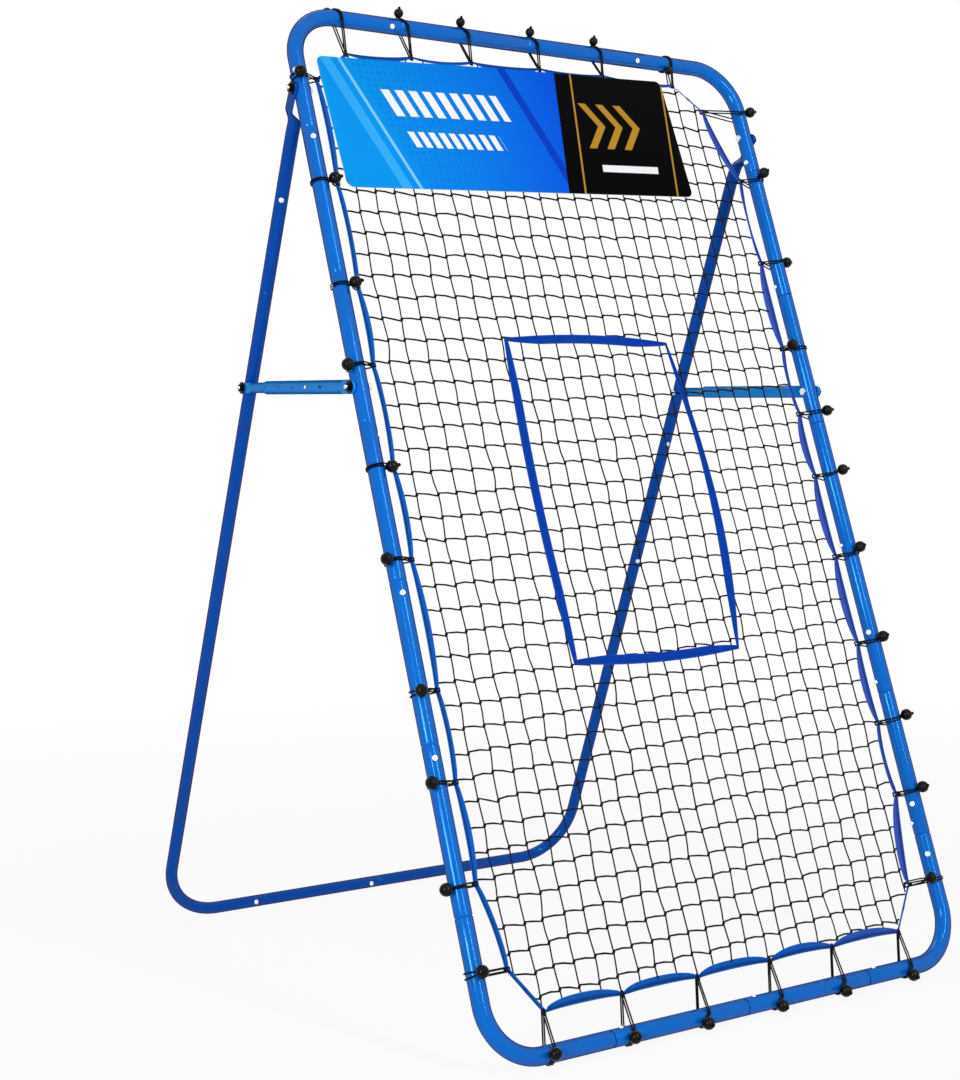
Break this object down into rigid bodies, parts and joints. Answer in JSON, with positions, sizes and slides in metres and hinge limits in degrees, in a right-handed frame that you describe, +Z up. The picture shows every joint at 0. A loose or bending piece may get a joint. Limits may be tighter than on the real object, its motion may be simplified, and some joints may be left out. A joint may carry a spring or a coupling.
{
  "type": "rebounder net",
  "caption": "Tall tubular frame with an elastic knotted net that throws balls back, leaning on a hinged rear frame held by two telescopic struts.",
  "frame": {"origin": "on the floor, under the middle of the standing net's bounding box", "axes": "+Z up, -Y towards the player, +X to the player's right"},
  "size_m": [1.2724, 1.459, 2.0511],
  "materials": {
    "rail_paint": "glossy azure powder coat",
    "leg_paint": "glossy azure powder coat, in shade",
    "bolt_steel": "black oxide",
    "button_steel": "polished",
    "tie_rubber": "black elastic cord with a glossy ball",
    "webbing": "woven webbing",
    "target_webbing": "woven webbing",
    "net_twine": "knotted twine",
    "sign_panel": "satin vinyl"
  },
  "bodies": {
    "front_frame": {"corner_bottom_left": "rail_paint", "corner_bottom_right": "rail_paint", "corner_top_left": "rail_paint", "corner_top_right": "rail_paint", "side_tube_left_1": "rail_paint", "side_tube_left_2": "rail_paint", "side_tube_left_3": "rail_paint", "side_tube_left_4": "rail_paint", "side_tube_left_5": "rail_paint", "side_tube_right_1": "rail_paint", "side_tube_right_2": "rail_paint", "side_tube_right_3": "rail_paint", "side_tube_right_4": "rail_paint", "side_tube_right_5": "rail_paint", "top_tube_1": "rail_paint", "top_tube_2": "rail_paint", "bottom_tube_1": "rail_paint", "bottom_tube_2": "rail_paint", "hinge_bolt_left": "bolt_steel", "hinge_bolt_right": "bolt_steel", "strut_front_bolt_left": "bolt_steel", "strut_front_bolt_right": "bolt_steel", "net": "net_twine", "hem_left": "webbing", "hem_top": "webbing", "hem_right": "webbing", "hem_bottom": "webbing", "bottom_tie_1": "tie_rubber", "bottom_tie_2": "tie_rubber", "bottom_tie_3": "tie_rubber", "bottom_tie_4": "tie_rubber", "bottom_tie_5": "tie_rubber", "bottom_tie_6": "tie_rubber", "target_webbing": "target_webbing", "sign_panel": "sign_panel"},
    "rear_frame": {"leg_top_left": "leg_paint", "leg_top_right": "leg_paint", "leg_tube_left_1": "leg_paint", "leg_tube_left_2": "leg_paint", "leg_tube_left_3": "leg_paint", "leg_tube_left_4": "leg_paint", "leg_tube_right_1": "leg_paint", "leg_tube_right_2": "leg_paint", "leg_tube_right_3": "leg_paint", "leg_tube_right_4": "leg_paint", "rear_corner_left": "leg_paint", "rear_corner_right": "leg_paint", "rear_bottom_tube_1": "leg_paint", "rear_bottom_tube_2": "leg_paint", "strut_rear_bolt_left": "bolt_steel", "strut_rear_bolt_right": "bolt_steel"},
    "strut_outer_left": {"strut_outer_left": "rail_paint"},
    "strut_outer_right": {"strut_outer_right": "rail_paint"},
    "strut_inner_left": {"strut_inner_left": "rail_paint"},
    "strut_inner_right": {"strut_inner_right": "rail_paint"},
    "strut_button_left": {"strut_snap_button_left": "button_steel"},
    "strut_button_right": {"strut_snap_button_right": "button_steel"}
  },
  "joints": [
    {"name": "rear_hinge", "type": "hinge", "parent": "front_frame", "child": "rear_frame", "pos_m": [0, -0.06307, 1.84251], "axis": [1, 0, 0], "range_deg": [-5.6, 17.4]},
    {"name": "strut_left_pivot", "type": "hinge", "parent": "front_frame", "child": "strut_outer_left", "pos_m": [-0.614, -0.27038, 1.23702], "axis": [1, 0, 0], "range_deg": [-2.9, 8.8]},
    {"name": "strut_left_slide", "type": "slide", "parent": "strut_outer_left", "child": "strut_inner_left", "axis": [0, 0.9992, 0.0406], "range_m": [-0.0572, 0.1772], "deforming": ["strut_snap_button_left"]},
    {"name": "strut_left_button", "type": "slide", "parent": "strut_inner_left", "child": "strut_button_left", "axis": [1, 0, 0], "range_m": [0, 0.0058], "stiffness_N_per_m": 2000},
    {"name": "strut_right_pivot", "type": "hinge", "parent": "front_frame", "child": "strut_outer_right", "pos_m": [0.614, -0.27038, 1.23702], "axis": [1, 0, 0], "range_deg": [-2.9, 8.8]},
    {"name": "strut_right_slide", "type": "slide", "parent": "strut_outer_right", "child": "strut_inner_right", "axis": [0, 0.9992, 0.0406], "range_m": [-0.0572, 0.1772], "deforming": ["strut_snap_button_right"]},
    {"name": "strut_right_button", "type": "slide", "parent": "strut_inner_right", "child": "strut_button_right", "axis": [-1, 0, 0], "range_m": [0, 0.0058], "stiffness_N_per_m": 2000}
  ],
  "couplings": [
    {"joint": "strut_left_pivot", "follows": "rear_hinge", "ratio": 0.5},
    {"joint": "strut_left_slide", "follows": "rear_hinge", "m_per_rad": 0.5825},
    {"joint": "strut_right_pivot", "follows": "rear_hinge", "ratio": 0.5},
    {"joint": "strut_right_slide", "follows": "rear_hinge", "m_per_rad": 0.5825}
  ]
}
